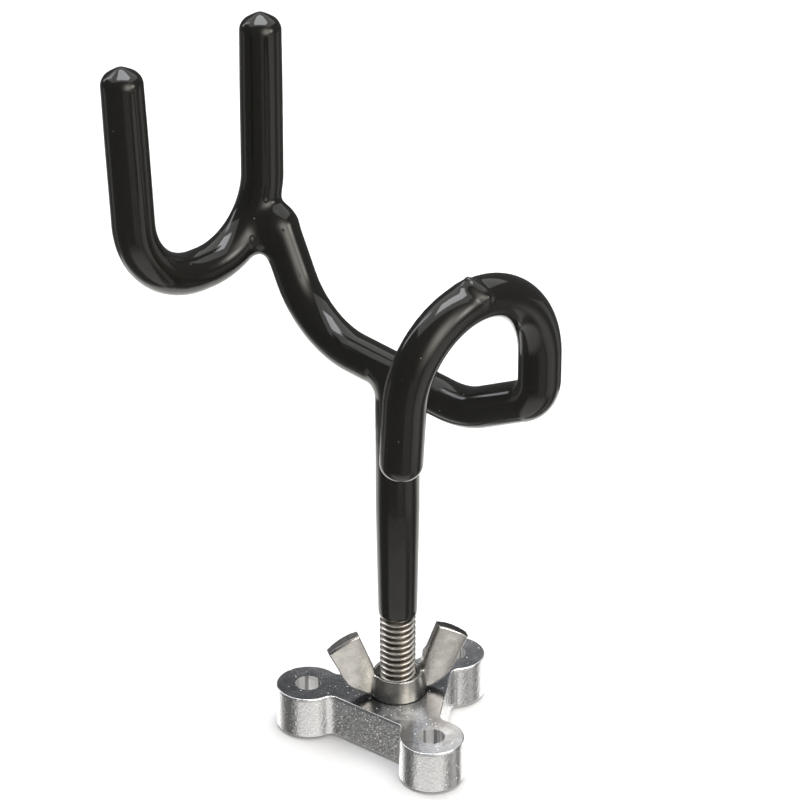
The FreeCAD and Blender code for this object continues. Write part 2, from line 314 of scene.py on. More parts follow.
def bend_circle(start, corner, end):
    """The arc that touches both runs at a corner: its centre, its radius and half the corner's angle."""
    back = unit(start - corner)
    onward = unit(end - corner)
    half = math.acos(np.clip(back @ onward, -1, 1)) / 2
    radius = np.linalg.norm(start - corner) * math.tan(half)
    centre = corner + unit(back + onward) * (radius / math.sin(half))
    return centre, radius, half


def bend_field(points, start, corner, end):
    """Distance to the arc of a bend."""
    centre, radius, half = bend_circle(start, corner, end)
    x_axis = unit(start - centre)
    normal = unit(np.cross(start - centre, end - centre))
    y_axis = np.cross(normal, x_axis)
    sweep = math.pi - 2 * half
    d = points - centre
    angle = np.arctan2(d @ y_axis, d @ x_axis)
    middle = sweep / 2
    angle = (angle - middle + math.pi) % (2 * math.pi) - math.pi + middle
    angle = np.clip(angle, 0.0, sweep)
    near = centre + radius * (np.cos(angle)[:, None] * x_axis + np.sin(angle)[:, None] * y_axis)
    return np.linalg.norm(points - near, axis=1)


def bent_pieces(corners, bends):
    """The straight runs and the bends of a rod, as ("run", a, b) and ("bend", a, corner, b)."""
    corners = [np.array(c, float) for c in corners]
    pieces = []
    start = corners[0]
    for before, corner, after, radius in zip(corners, corners[1:], corners[2:], bends):
        back = unit(before - corner)
        onward = unit(after - corner)
        reach = radius / math.tan(math.acos(back @ onward) / 2)
        pieces.append(("run", start, corner + back * reach))
        pieces.append(("bend", corner + back * reach, corner, corner + onward * reach))
        start = corner + onward * reach
    pieces.append(("run", start, corners[-1]))
    return pieces


def rounded_meet(a, b, radius):
    """The overlap of two solids, with the edge between them rounded."""
    u = np.maximum(radius + a, 0.0)
    v = np.maximum(radius + b, 0.0)
    return np.minimum(-radius, np.maximum(a, b)) + np.hypot(u, v)


def blended(a, b, width):
    """Two solids joined with a soft web of the given width."""
    h = np.clip(0.5 + 0.5 * (b - a) / width, 0.0, 1.0)
    return b * (1 - h) + a * h - width * h * (1 - h)


def rod_field(points, corners, bends, radius, start_cap, end_cap):
    """A bent round bar, each end closed by its own cap(d, points, tip, direction)."""
    pieces = bent_pieces(corners, bends)
    field = np.full(len(points), math.inf)
    for i, piece in enumerate(pieces):
        if piece[0] == "bend":
            field = np.minimum(field, bend_field(points, *piece[1:]) - radius)
            continue
        start, end = piece[1], piece[2]
        cap = None
        if i == 0:
            start, end = end, start
            cap = start_cap
        elif i == len(pieces) - 1:
            cap = end_cap
        d = run_field(points, start, end, cap is not None) - radius
        if cap:
            d = cap(d, points, end, unit(end - start))
        field = np.minimum(field, d)
    return field


def loop_corners():
    """The main rod, from the fork back past the stem, up and over into the arch."""
    rise = (FORK_END_MM - FRONT_BEND_MM[0]) * math.tan(math.radians(FORK_SLOPE_DEG))
    return [
        (0, FORK_END_MM, FRONT_BEND_MM[1] + rise),
        (0, FRONT_BEND_MM[0], FRONT_BEND_MM[1]),
        (0, REAR_DIP_MM[0], REAR_DIP_MM[1]),
        (0, ARCH_PLANE_MM, ARCH_FOOT_Z_MM),
        (0, ARCH_PLANE_MM, ARCH_TOP_Z_MM),
        (-ARCH_WIDTH_MM, ARCH_PLANE_MM, ARCH_TOP_Z_MM),
        ARCH_END_MM,
    ]


def fork_corners():
    """The U of the fork, from the right tine's tip to the left one's."""
    right_rise = RIGHT_TINE_TOP_MM - FORK_BOTTOM_Z_MM
    left_rise = LEFT_TINE_TOP_MM - FORK_BOTTOM_Z_MM
    right_x = right_rise * math.tan(math.radians(RIGHT_SPLAY_DEG))
    left_x = -FORK_WIDTH_MM - left_rise * math.tan(math.radians(LEFT_SPLAY_DEG))
    return [
        (right_x, FORK_PLANE_MM, RIGHT_TINE_TOP_MM),
        (0, FORK_PLANE_MM, FORK_BOTTOM_Z_MM),
        (-FORK_WIDTH_MM, FORK_PLANE_MM, FORK_BOTTOM_Z_MM),
        (left_x, FORK_PLANE_MM, LEFT_TINE_TOP_MM),
    ]


def stem_top_z():
    """Height of the main rod's axis where the stem meets it."""
    slope = (FRONT_BEND_MM[1] - REAR_DIP_MM[1]) / (FRONT_BEND_MM[0] - REAR_DIP_MM[0])
    return REAR_DIP_MM[1] - slope * REAR_DIP_MM[0]


def stem_coat_field(points):
    """The coating on the stem, thinner towards its foot."""
    heights, radii = zip(*COAT_PROFILE_MM)
    radius = np.interp(points[:, 2] - COAT_FOOT_Z_MM, heights, radii)
    d = np.hypot(points[:, 0], points[:, 1]) - radius
    d = rounded_meet(d, COAT_FOOT_Z_MM - points[:, 2], COAT_FOOT_ROUNDING_MM)
    return np.maximum(d, points[:, 2] - stem_top_z())


def flat_cap(d, points, tip, direction):
    """The vinyl over a square-cut end, well rounded."""
    return rounded_meet(d, (points - tip) @ direction - END_COAT_MM, END_ROUNDING_MM)


def joint_cap(d, points, tip, direction):
    """The vinyl over the end that is welded to the fork."""
    away = points - tip - direction * (JOINT_COAT_MM - JOINT_DOME_R_MM)
    t = away @ direction
    radial = np.linalg.norm(away - t[:, None] * direction, axis=1)
    dome = np.hypot(radial, np.maximum(t, 0)) - JOINT_DOME_R_MM
    return rounded_meet(d, dome, JOINT_ROUNDING_MM)


def tent_cap(d, points, tip, direction):
    """The vinyl over a tine's tip, which drained to a blunt cone."""
    away = points - tip
    t = away @ direction
    radial = np.linalg.norm(away - t[:, None] * direction, axis=1)
    soft = np.hypot(radial, TENT_POINT_MM) - TENT_POINT_MM
    cone = (t - TENT_APEX_MM + TENT_SLOPE * soft) / math.hypot(1, TENT_SLOPE)
    slim = np.clip(1 + t / TENT_TAPER_MM, 0, 1) * TENT_SLIMMING_MM
    return rounded_meet(d + slim, cone, TENT_SHOULDER_MM)


def ball_field(points, centre, radius):
    return np.linalg.norm(points - np.array(centre, float), axis=1) - radius


def streak_field(points, start, end, start_r, end_r):
    """A tapering drip between two places."""
    start = np.array(start, float)
    end = np.array(end, float)
    along = end - start
    t = np.clip((points - start) @ along / (along @ along), 0, 1)
    d = np.linalg.norm(points - start - t[:, None] * along, axis=1)
    return d - (start_r + (end_r - start_r) * t)


def vinyl_field(points):
    """One skin over rods, weld and stem, with the marks that dipping left."""
    loop = rod_field(points, loop_corners(), LOOP_BENDS_MM, LOOP_COAT_R_MM, joint_cap, flat_cap)
    fork = rod_field(points, fork_corners(), FORK_BENDS_MM, FORK_COAT_R_MM, tent_cap, tent_cap)
    weld = ball_field(points, FORK_WELD_MM, FORK_WELD_R_MM + WELD_COAT_MM)
    body = blended(loop, fork, FORK_WEB_MM)
    body = blended(body, weld, WELD_WEB_MM)
    body = blended(body, stem_coat_field(points), STEM_WEB_MM)
    *groove, web = JOINT_GROOVE_MM
    body = -blended(-body, streak_field(points, *groove), web)
    for *streak, web in (JOINT_BEAD_MM, ARCH_DRIP_MM, ARCH_RIDGE_MM):
        body = blended(body, streak_field(points, *streak), web)
    return body


# ---- meshes ----


def new_object(name, data):
    ob = bpy.data.objects.new(name, data)
    bpy.context.scene.collection.objects.link(ob)
    return ob


def mesh_of(bm):
    """A closed seed as a mesh with its faces outwards."""
    bmesh.ops.recalc_face_normals(bm, faces=bm.faces)
    mesh = bpy.data.meshes.new("seed")
    bm.to_mesh(mesh)
    bm.free()
    return mesh


def seed_ball(centre, radius):
    bm = bmesh.new()
    bmesh.ops.create_icosphere(bm, subdivisions=3, radius=radius, matrix=Matrix.Translation(centre))
    return mesh_of(bm)


def seed_rod(corners, bends, radius, extend):
    """A plain tube in the rod's place, for the remesh to start from."""
    points = []
    for piece in bent_pieces(corners, bends):
        if piece[0] == "run":
            points += [piece[1], piece[2]]
            continue
        start, corner, end = piece[1:]
        centre, bend_r, _ = bend_circle(start, corner, end)
        for k in range(1, BEND_STEPS):
            share = 0.5 - 0.5 * math.cos(math.pi * k / BEND_STEPS)
            points.append(centre + unit(start - centre + (end - start) * share) * bend_r)
    points[0] = points[0] + unit(points[0] - points[1]) * extend
    points[-1] = points[-1] + unit(points[-1] - points[-2]) * extend
    curve = bpy.data.curves.new("seed", "CURVE")
    curve.dimensions = "3D"
    curve.bevel_depth = radius
    curve.bevel_resolution = 8
    curve.use_fill_caps = True
    spline = curve.splines.new("POLY")
    kept = [points[0]]
    for p in points[1:]:
        if np.linalg.norm(p - kept[-1]) > SEED_GAP_MM:
            kept.append(p)
    spline.points.add(len(kept) - 1)
    for target, p in zip(spline.points, kept):
        target.co = (*p, 1)
    ob = new_object("seed", curve)
    mesh = bpy.data.meshes.new_from_object(ob)
    bpy.data.objects.remove(ob)
    return mesh


def gradient(field, points, step=0.02):
    """From four samples at the corners of a small tetrahedron."""
    g = np.zeros_like(points)
    for corner in ((1, -1, -1), (-1, -1, 1), (-1, 1, -1), (1, 1, 1)):
        corner = np.array(corner, float)
        g += field(points + corner * step)[:, None] * corner
    return g / (4 * step)


def onto_surface(field, points, pulls):
    """Moves the points onto the field's surface, a limited step at a time."""
    for _ in range(pulls):
        g = gradient(field, points)
        size = np.maximum((g * g).sum(1), LEAST_SLOPE ** 2)
        move = (field(points) / size)[:, None] * g
        length = np.linalg.norm(move, axis=1)
        move *= np.minimum(1.0, LONGEST_PULL_MM / np.maximum(length, 1e-9))[:, None]
        points = points - move
    return points


def neighbour_mean(points, edges):
    """For every point, the mean of the points that share an edge with it."""
    here = np.concatenate([edges[:, 0], edges[:, 1]])
    there = np.concatenate([edges[:, 1], edges[:, 0]])
    count = np.bincount(here, minlength=len(points))
    total = [np.bincount(here, points[there, axis], len(points)) for axis in range(3)]
    return np.stack(total, -1) / count[:, None]


def remeshed(name, seeds, voxel):
    """The seeds joined into one closed mesh of even voxels."""
    bm = bmesh.new()
    for seed in seeds:
        bm.from_mesh(seed)
    joined = bpy.data.meshes.new(name)
    bm.to_mesh(joined)
    bm.free()
    ob = new_object(name, joined)
    remesh = ob.modifiers.new("remesh", "REMESH")
    remesh.mode = "VOXEL"
    remesh.voxel_size = voxel
    bpy.context.view_layer.update()
    graph = bpy.context.evaluated_depsgraph_get()
    mesh = bpy.data.meshes.new_from_object(ob.evaluated_get(graph))
    bpy.data.objects.remove(ob)
    return mesh


def mesh_from_field(name, field, seeds, voxel, soften=0):
    """Voxel-remeshes the joined seeds, then pulls every vertex onto the field's surface."""
    mesh = remeshed(name, seeds, voxel)
    count = len(mesh.vertices)
    flat = np.empty(count * 3)
    mesh.vertices.foreach_get("co", flat)
    points = flat.reshape(-1, 3)
    pairs = np.empty(len(mesh.edges) * 2, int)
    mesh.edges.foreach_get("vertices", pairs)
    edges = pairs.reshape(-1, 2)
    for _ in range(soften):
        points = neighbour_mean(points, edges)
    points = onto_surface(field, points, FIRST_PULLS)
    for _ in range(RELAX_ROUNDS):
        points = 0.5 * points + 0.5 * neighbour_mean(points, edges)
        points = onto_surface(field, points, RELAX_PULLS)
    mesh.vertices.foreach_set("co", (points * MM).ravel())
    mesh.shade_smooth()
    mesh.name = name
    mesh.update()
    return new_object(name, mesh)


def vinyl_skin():
    seeds = [
        seed_rod(loop_corners(), LOOP_BENDS_MM, LOOP_COAT_R_MM, LOOP_SEED_REACH_MM),
        seed_rod(fork_corners(), FORK_BENDS_MM, FORK_COAT_R_MM, FORK_SEED_REACH_MM),
        seed_rod([(0, 0, COAT_FOOT_Z_MM), (0, 0, stem_top_z())], [], STEM_SEED_R_MM, 0.0),
    ]
    seeds += [seed_ball(place, radius) for place, radius in WEB_SEEDS_MM]
    return mesh_from_field("vinyl_skin", vinyl_field, seeds, VINYL_VOXEL_MM, SOFTEN_ROUNDS)


def thread_radius(turn_phase):
    """Radius of the thread across one pitch: a narrow crest, slightly eased flanks, a narrow root."""
    distance = np.abs((turn_phase % 1.0) - 0.5) * 2.0
    rise = np.clip((distance - CREST_SHARE) / FLANK_SHARE, 0.0, 1.0)
    eased = rise * rise * (3 - 2 * rise)
    rise = eased * FLANK_SOFTNESS + rise * (1 - FLANK_SOFTNESS)
    return THREAD_R_MM - THREAD_DEPTH_MM * rise


def threaded_stem():
    """The stud's foot with its helical thread; the rest of the stem is under the coating."""
    around = 72
    rows_per_pitch = 20
    rows = int((THREAD_TOP_MM - STEM_FOOT_MM) / THREAD_PITCH_MM * rows_per_pitch)
    z = np.linspace(STEM_FOOT_MM, THREAD_TOP_MM, rows + 1)
    angle = np.arange(around) / around * 2 * math.pi
    zz, aa = np.meshgrid(z, angle, indexing="ij")
    radius = thread_radius(zz / THREAD_PITCH_MM - aa / (2 * math.pi))
    chamfer = THREAD_R_MM - THREAD_DEPTH_MM + (zz - STEM_FOOT_MM) * THREAD_LEAD_SLOPE
    radius = np.minimum(radius, chamfer)
    verts = np.stack([radius * np.cos(aa), radius * np.sin(aa), zz], -1).reshape(-1, 3) * MM
    faces = []
    for i in range(rows):
        for j in range(around):
            k = (j + 1) % around
            faces.append((i * around + j, i * around + k, (i + 1) * around + k, (i + 1) * around + j))
    faces.append(tuple(reversed(range(around))))
    faces.append(tuple(rows * around + j for j in range(around)))
    mesh = bpy.data.meshes.new("threaded_stem")
    mesh.from_pydata(verts.tolist(), [], faces)
    mesh.shade_smooth()
    mesh.update()
    return new_object("threaded_stem", mesh)


# ---- wing nut ----


def polygon_field(u, v, outline):
    """Signed distance to a closed outline in the plane."""
    p = np.stack([u, v], -1)
    best = np.full(len(p), math.inf)
    sign = np.ones(len(p))
    corners = [np.array(corner, float) for corner in outline]
    for i, a in enumerate(corners):
        b = corners[i - 1]
        e = b - a
        w = p - a
        t = np.clip((w @ e) / (e @ e), 0, 1)
        d = w - t[:, None] * e
        best = np.minimum(best, (d * d).sum(1))
        above = p[:, 1] >= a[1]
        below = p[:, 1] < b[1]
        left = e[0] * w[:, 1] > e[1] * w[:, 0]
        flip = (above & below & left) | (~above & ~below & ~left)
        sign = np.where(flip, -sign, sign)
    return sign * np.sqrt(best)


def nut_local(points):
    """Points in the nut's own axes: wings along X, foot at Z = 0."""
    a = math.radians(-NUT_TURN_DEG)
    c, s = math.cos(a), math.sin(a)
    x = points[:, 0] * c - points[:, 1] * s
    y = points[:, 0] * s + points[:, 1] * c
    return x, y, points[:, 2] - BASE_HEIGHT_MM


def wing_nut_field(points):
    """A cone with a countersunk bore, and two crowned wings that lean outwards."""
    x, y, z = nut_local(points)
    radial = np.hypot(x, y)
    wall = NUT_FOOT_R_MM + (NUT_TOP_R_MM - NUT_FOOT_R_MM) * z / NUT_HEIGHT_MM
    level = np.abs(z - NUT_HEIGHT_MM / 2) - NUT_HEIGHT_MM / 2
    cone = rounded_meet(radial - wall, level, NUT_ROUNDING_MM)
    out = np.abs(x)
    lean = unit(np.array(WING_LEAN))
    across = (out - WING_MIDDLE_MM[0]) * lean[1] - (z - WING_MIDDLE_MM[1]) * lean[0]
    crown = WING_CROWN_MM * np.clip(1 - (across / WING_HALF_WIDTH_MM) ** 2, 0, 1)
    thickness = WING_HALF_THICKNESS_MM + crown
    wing = rounded_meet(polygon_field(out, z, WING_OUTLINE_MM), np.abs(y) - thickness, WING_ROUNDING_MM)
    solid = blended(cone, wing, WING_WEB_MM)
    sink = np.clip(z - NUT_HEIGHT_MM + SINK_DEPTH_MM, 0, SINK_REACH_MM) * SINK_SLOPE
    bore = np.maximum(radial - (NUT_BORE_R_MM + sink), -z - BORE_BELOW_MM)
    return np.maximum(solid, -bore)


def turned(mesh, degrees, lift):
    """The mesh turned about Z and raised."""
    a = math.radians(degrees)
    for v in mesh.vertices:
        x, y, z = v.co
        v.co = (x * math.cos(a) - y * math.sin(a), x * math.sin(a) + y * math.cos(a), z + lift)
    return mesh


def seed_ring():
    """The nut's cone with its bore and countersink."""
    bm = bmesh.new()
    around = 64
    sink_width, sink_depth = SINK_SEED_MM
    profile = (
        (NUT_BORE_R_MM, 0),
        (NUT_FOOT_R_MM, 0),
        (NUT_TOP_R_MM, NUT_HEIGHT_MM),
        (NUT_BORE_R_MM + sink_width, NUT_HEIGHT_MM),
        (NUT_BORE_R_MM, NUT_HEIGHT_MM - sink_depth),
    )
    loops = []
    for radius, z in profile:
        turns = [2 * math.pi * k / around for k in range(around)]
        loops.append([bm.verts.new((radius * math.cos(a), radius * math.sin(a), z)) for a in turns])
    for a, b in zip(loops, loops[1:] + loops[:1]):
        for k in range(around):
            bm.faces.new((a[k - 1], a[k], b[k], b[k - 1]))
    return mesh_of(bm)


def seed_wing(side):
    """One wing as a flat plate, on the side 1 or -1."""
    bm = bmesh.new()
    front = [bm.verts.new((side * u, -WING_HALF_THICKNESS_MM, v)) for u, v in WING_OUTLINE_MM]
    back = [bm.verts.new((side * u, WING_HALF_THICKNESS_MM, v)) for u, v in WING_OUTLINE_MM]
    bm.faces.new(front)
    bm.faces.new(list(reversed(back)))
    for k in range(len(front)):
        bm.faces.new((front[k], front[k - 1], back[k - 1], back[k]))
    return mesh_of(bm)


def wing_nut():
    seeds = [seed_ring(), seed_wing(1), seed_wing(-1)]
    seeds = [turned(seed, NUT_TURN_DEG, BASE_HEIGHT_MM) for seed in seeds]
    return mesh_from_field("cast_wing_nut", wing_nut_field, seeds, NUT_VOXEL_MM)


# ---- materials ----


class Nodes:
    """A short way to build a node material."""

    def __init__(self, name):
        self.material = bpy.data.materials.new(name)
        self.material.use_nodes = True
        self.tree = self.material.node_tree
        self.shader = self.tree.nodes["Principled BSDF"]
        self.place = self.add("ShaderNodeTexCoord").outputs["Object"]

    def add(self, kind, **settings):
        """A new node. Each setting is one of its properties or else one of its inputs."""
        node = self.tree.nodes.new(kind)
        for key, value in settings.items():
            if hasattr(node, key):
                setattr(node, key, value)
            else:
                node.inputs[key].default_value = value
        return node

    def link(self, source, target):
        self.tree.links.new(source, target)

    def axes(self, vector=None):
        """X, Y and Z of a vector, or of the place on the object."""
        node = self.add("ShaderNodeSeparateXYZ")
        self.link(vector or self.place, node.inputs[0])
        return node.outputs["X"], node.outputs["Y"], node.outputs["Z"]

    def vector(self, *parts):
        node = self.add("ShaderNodeCombineXYZ")
        for part, socket in zip(parts, node.inputs):
            self.link(part, socket)
        return node.outputs[0]

    def noise(self, scale, detail=2.0, rough=0.5, place=None):
        node = self.add("ShaderNodeTexNoise", Scale=scale, Detail=detail, Roughness=rough)
        self.link(place or self.place, node.inputs["Vector"])
        return node.outputs["Fac"]

    def ramp(self, source, low, high, out_low=0.0, out_high=1.0, curve="LINEAR"):
        """A source between low and high, spread over out_low to out_high and held beyond them."""
        node = self.add("ShaderNodeMapRange", interpolation_type=curve)
        limits = {"From Min": low, "From Max": high, "To Min": out_low, "To Max": out_high}
        for key, value in limits.items():
            node.inputs[key].default_value = value
        self.link(source, node.inputs["Value"])
        return node.outputs["Result"]

    def mix(self, factor, first, second):
        node = self.add("ShaderNodeMix", data_type="RGBA")
        self.link(factor, node.inputs["Factor"])
        for index, value in ((6, first), (7, second)):
            if isinstance(value, tuple):
                node.inputs[index].default_value = (*value, 1)
            else:
                self.link(value, node.inputs[index])
        return node.outputs[2]

    def math(self, operation, a, b=None):
        node = self.add("ShaderNodeMath", operation=operation)
        for index, value in enumerate((a, b)):
            if value is None:
                continue
            if isinstance(value, (int, float)):
                node.inputs[index].default_value = value
            else:
                self.link(value, node.inputs[index])
        return node.outputs[0]

    def bump(self, height, strength, distance, after=None):
        node = self.add("ShaderNodeBump", Strength=strength, Distance=distance)
        self.link(height, node.inputs["Height"])
        if after:
            self.link(after, node.inputs["Normal"])
        return node.outputs["Normal"]

    def set(self, **values):
        """Sets the shader's sockets, whose names have underscores for spaces here."""
        for key, value in values.items():
            socket = self.shader.inputs[key.replace("_", " ")]
            if isinstance(value, (int, float)):
                socket.default_value = value
            elif isinstance(value, tuple):
                socket.default_value = (*value, 1)
            else:
                self.link(value, socket)


def product(n, first, *others):
    """All the values multiplied together."""
    for other in others:
        first = n.math("MULTIPLY", first, other)
    return first


def level_distance(n, x, y, centre_mm=(0, 0)):
    """Distance from an upright line."""
    dx = n.math("SUBTRACT", x, centre_mm[0] * MM)
    dy = n.math("SUBTRACT", y, centre_mm[1] * MM)
    return n.math("SQRT", n.math("ADD", n.math("MULTIPLY", dx, dx), n.math("MULTIPLY", dy, dy)))


def within(n, distance, edge_mm):
    """One up to the first of two distances, and zero from the second one on."""
    return n.ramp(distance, edge_mm[0] * MM, edge_mm[1] * MM, 1.0, 0.0)


def specks(n, scale, share, size):
    """Scattered small dots, in some of a Voronoi pattern's cells."""
    cells = n.add("ShaderNodeTexVoronoi", Scale=scale)
    n.link(n.place, cells.inputs["Vector"])
    pick = n.ramp(cells.outputs["Color"], 1 - share, 1.02 - share)
    dot = n.ramp(cells.outputs["Distance"], size * 0.5, size, 1.0, 0.0)
    return n.math("MULTIPLY", pick, dot)


def black_vinyl():
    """Glossy black, slightly wavy, with a little dust on it."""
    n = Nodes("black_vinyl")
    dust = specks(n, scale=420.0, share=0.31, size=0.07)
    normal = n.bump(n.noise(70, 2.0), 0.22, 0.0006)
    normal = n.bump(n.noise(420, 2.0), 0.06, 0.00012, normal)
    normal = n.bump(dust, 0.5, 0.00008, normal)
    n.set(
        Base_Color=n.mix(dust, VINYL_BLACK, VINYL_DUST),
        Roughness=n.ramp(n.noise(160, 2.0), 0.3, 0.7, 0.06, 0.12),
        IOR=1.46,
        Normal=normal,
    )
    return n.material


def thread_steel():
    """Bright crests and grimy roots."""
    n = Nodes("thread_steel")
    x, y, _ = n.axes()
    root = within(n, level_distance(n, x, y), THREAD_GRIME_MM)
    grime = n.math("MULTIPLY", root, n.ramp(n.noise(500, 4.0), 0.3, 0.7, 0.6, 1.0))
    n.set(
        Base_Color=n.mix(grime, THREAD_BRIGHT, THREAD_GRIME),
        Metallic=1.0,
        Roughness=n.ramp(grime, 0.0, 1.0, 0.24, 0.5),
        Normal=n.bump(n.noise(2500, 4.0), 0.25, 0.00004),
    )
    return n.material


def satin_nickel():
    """Plated casting: bright wing faces, painted shade on the narrow edges, a darker cone."""
    n = Nodes("satin_nickel")
    turn = math.radians(-NUT_TURN_DEG)
    facing = n.add("ShaderNodeVectorMath", operation="DOT_PRODUCT")
    n.link(n.add("ShaderNodeTexCoord").outputs["Normal"], facing.inputs[0])
    facing.inputs[1].default_value = (math.sin(turn), math.cos(turn), 0)
    broad = n.ramp(n.math("ABSOLUTE", facing.outputs["Value"]), 0.45, 0.8)
    x, y, _ = n.axes()
    cone = within(n, level_distance(n, x, y), CONE_END_MM)
    wing = n.math("SUBTRACT", 1.0, cone)
    # Painted shade: the wings' narrow edges, picked out by which way they face, are darkened.
    edge = n.math("MULTIPLY", wing, n.math("SUBTRACT", 1.0, broad))
    blotch = n.noise(350, 4.0, 0.6)
    colour = n.mix(n.ramp(blotch, 0.35, 0.7), NICKEL_BRIGHT, NICKEL_BLOTCH)
    colour = n.mix(n.math("MULTIPLY", edge, 0.85), colour, NICKEL_EDGE_SHADE)
    colour = n.mix(n.math("MULTIPLY", cone, 0.55), colour, NICKEL_CONE)
    normal = n.bump(n.noise(700, 3.0), 0.35, 0.00012)
    normal = n.bump(n.noise(3000, 3.0), 0.3, 0.00005, normal)
    rough = n.ramp(blotch, 0.3, 0.7, 0.2, 0.34)
    n.set(Base_Color=colour, Metallic=1.0, Roughness=rough, Normal=normal)
    return n.material


def hole_walls(n, x, y, side):
    """One on the walls of the screw holes."""
    found = 0.0
    for k in range(EAR_COUNT):
        turn = math.radians(FIRST_EAR_DEG + 360 / EAR_COUNT * k)
        centre = (BOLT_CIRCLE_R_MM * math.cos(turn), BOLT_CIRCLE_R_MM * math.sin(turn))
        found = n.math("MAXIMUM", found, within(n, level_distance(n, x, y, centre), HOLE_RIM_MM))
    return n.math("MULTIPLY", found, side)


def base_relief(n, radius, peel, webbed, side, flat):
    """Orange peel, mostly on the webs' sides, a coarser skin on all sides, rings and grain on the top."""
    along_radius = n.vector(n.math("MULTIPLY", radius, RINGS_PER_M))
    layers = (
        (peel, webbed, 0.9, 0.00034),
        (n.noise(900, 2.0, 0.5), side, 0.3, 0.00014),
        (n.noise(1.0, 3.0, 0.7, along_radius), flat, 0.3, 0.00003),
        (n.noise(1800, 3.0, 0.6), flat, 0.35, 0.00006),
    )
    normal = None
    for height, where, strength, depth in layers:
        normal = n.bump(n.math("MULTIPLY", height, where), strength, depth, normal)
    return normal


def painted_shade_top(n):
    """Painted shade for the top: a mottled, slightly blue grey, far darker than the sides."""
    mottle = n.ramp(n.noise(260, 3.0, 0.6), 0.35, 0.65, 0.24, 0.38)
    top = n.add("ShaderNodeCombineColor")
    for socket, tone in zip(top.inputs, TOP_SHADE_TONES):
        n.link(n.math("MULTIPLY", mottle, tone), socket)
    return top.outputs[0]


def cast_aluminium():
    """Bright aluminium: grained sides with painted glints, painted shade on the top, a painted highlight
    in front of the nut, a painted shadow round its foot, holes painted as bright reflections with dark
    stripes.
    """
    n = Nodes("cast_aluminium")
    x, y, z = n.axes()
    radius = level_distance(n, x, y)
    upward = n.axes(n.add("ShaderNodeNewGeometry").outputs["True Normal"])[2]
    flat = n.ramp(n.math("ABSOLUTE", upward), 0.90, 0.98)
    side = n.math("SUBTRACT", 1.0, flat)
    bore = hole_walls(n, x, y, side)
    web = n.ramp(radius, WEB_END_MM[0] * MM, WEB_END_MM[1] * MM, 1.0, 0.32)
    webbed = product(n, web, side, within(n, z, BASE_TOP_EDGE_MM))
    peel = n.noise(1900, 3.0, 0.6)

    # Painted shade: the top is coloured far darker than the sides.
    colour = n.mix(flat, ALUMINIUM, painted_shade_top(n))
    grain = n.math("MULTIPLY", n.ramp(peel, 0.42, 0.60, 1.0, 0.0), webbed)
    colour = n.mix(n.math("MULTIPLY", grain, 0.62), colour, ALUMINIUM_GRAIN)
    # Painted highlight: a lighter, mottled, less metallic patch on the top in front of the nut.
    highlight_zone = within(n, level_distance(n, x, y, NUT_FRONT_HIGHLIGHT_MM), NUT_FRONT_HIGHLIGHT_R_MM)
    painted_highlight = product(n, highlight_zone, flat, n.ramp(n.noise(700, 3.0, 0.6), 0.35, 0.65, 0.5, 1.0))
    colour = n.mix(painted_highlight, colour, ALUMINIUM_PAINTED_HIGHLIGHT)
    # Painted shadow: a dark ring on the top round the nut's foot.
    contact_shadow = within(n, radius, (NUT_FOOT_R_MM, NUT_FOOT_R_MM + CONTACT_SHADOW_WIDTH_MM))
    colour = n.mix(n.math("MULTIPLY", contact_shadow, 0.85), colour, CONTACT_SHADOW_BLACK)
    # Painted glints: white, less metallic specks on the sides, mostly on the webs. Here dust holds these
    # painted glints and the real dust specks, which are all over.
    side_glints = n.math("MULTIPLY", webbed, specks(n, scale=1500.0, share=0.42, size=0.3))
    dust = n.math("MAXIMUM", specks(n, scale=1000.0, share=0.36, size=0.2), side_glints)
    colour = n.mix(n.math("MAXIMUM", dust, bore), colour, DUST_AND_GLINT_WHITE)
    # Painted reflection: the holes' walls are near white and less metallic, with dark upright stripes.
    bore_stripes = n.noise(900, 1.0, 0.5, n.vector(x, y))
    dark = n.math("MULTIPLY", bore, n.ramp(bore_stripes, 0.40, 0.46, 0.75, 0.0))
    colour = n.mix(dark, colour, BORE_STRIPE_DARK)

    rough = n.math("SUBTRACT", n.ramp(flat, 0.0, 1.0, 0.22, 0.24), n.math("MULTIPLY", bore, 0.12))
    matt = n.math("MAXIMUM", n.math("MULTIPLY", bore, 0.3), n.math("MULTIPLY", painted_highlight, 0.4))
    metal = n.math("SUBTRACT", 1.0, n.math("MAXIMUM", dust, matt))
    normal = base_relief(n, radius, peel, webbed, side, flat)
    tangent = n.add("ShaderNodeTangent", direction_type="RADIAL", axis="Z")
    n.set(Base_Color=colour, Metallic=metal, Roughness=rough, Normal=normal)
    n.set(Anisotropic=0.75, Anisotropic_Rotation=0.25, Tangent=tangent.outputs[0])
    return n.material


def bare_steel(name, colour):
    """The rods and welds, which the coating hides."""
    n = Nodes(name)
    grain = n.noise(1200, 4.0)
    n.set(
        Base_Color=n.mix(n.ramp(grain, 0.3, 0.7), colour, STEEL_GRAIN),
        Metallic=1.0,
        Roughness=0.45,
        Normal=n.bump(grain, 0.3, 0.00005),
    )
    return n.material


def stage_surface():
    n = Nodes("pale_floor")
    n.set(
        Base_Color=n.mix(n.noise(3.0, 2.0), *FLOOR_TONES),
        Roughness=0.85,
        Specular_IOR_Level=0.1,
    )
    return n.material


def give(ob, material):
    ob.data.materials.clear()
    ob.data.materials.append(material)


# ---- stage, lights, camera ----


def floor():
    mesh = bpy.data.meshes.new("floor")
    ground = CAD_BOX[0][2] - FLOOR_GAP
    corners = [(x * FLOOR_REACH, y * FLOOR_REACH, ground) for x, y in ((-1, -1), (1, -1), (1, 1), (-1, 1))]
    mesh.from_pydata(corners, [], [(0, 1, 2, 3)])
    ob = new_object("floor", mesh)
    give(ob, stage_surface())
    ob.visible_glossy = False


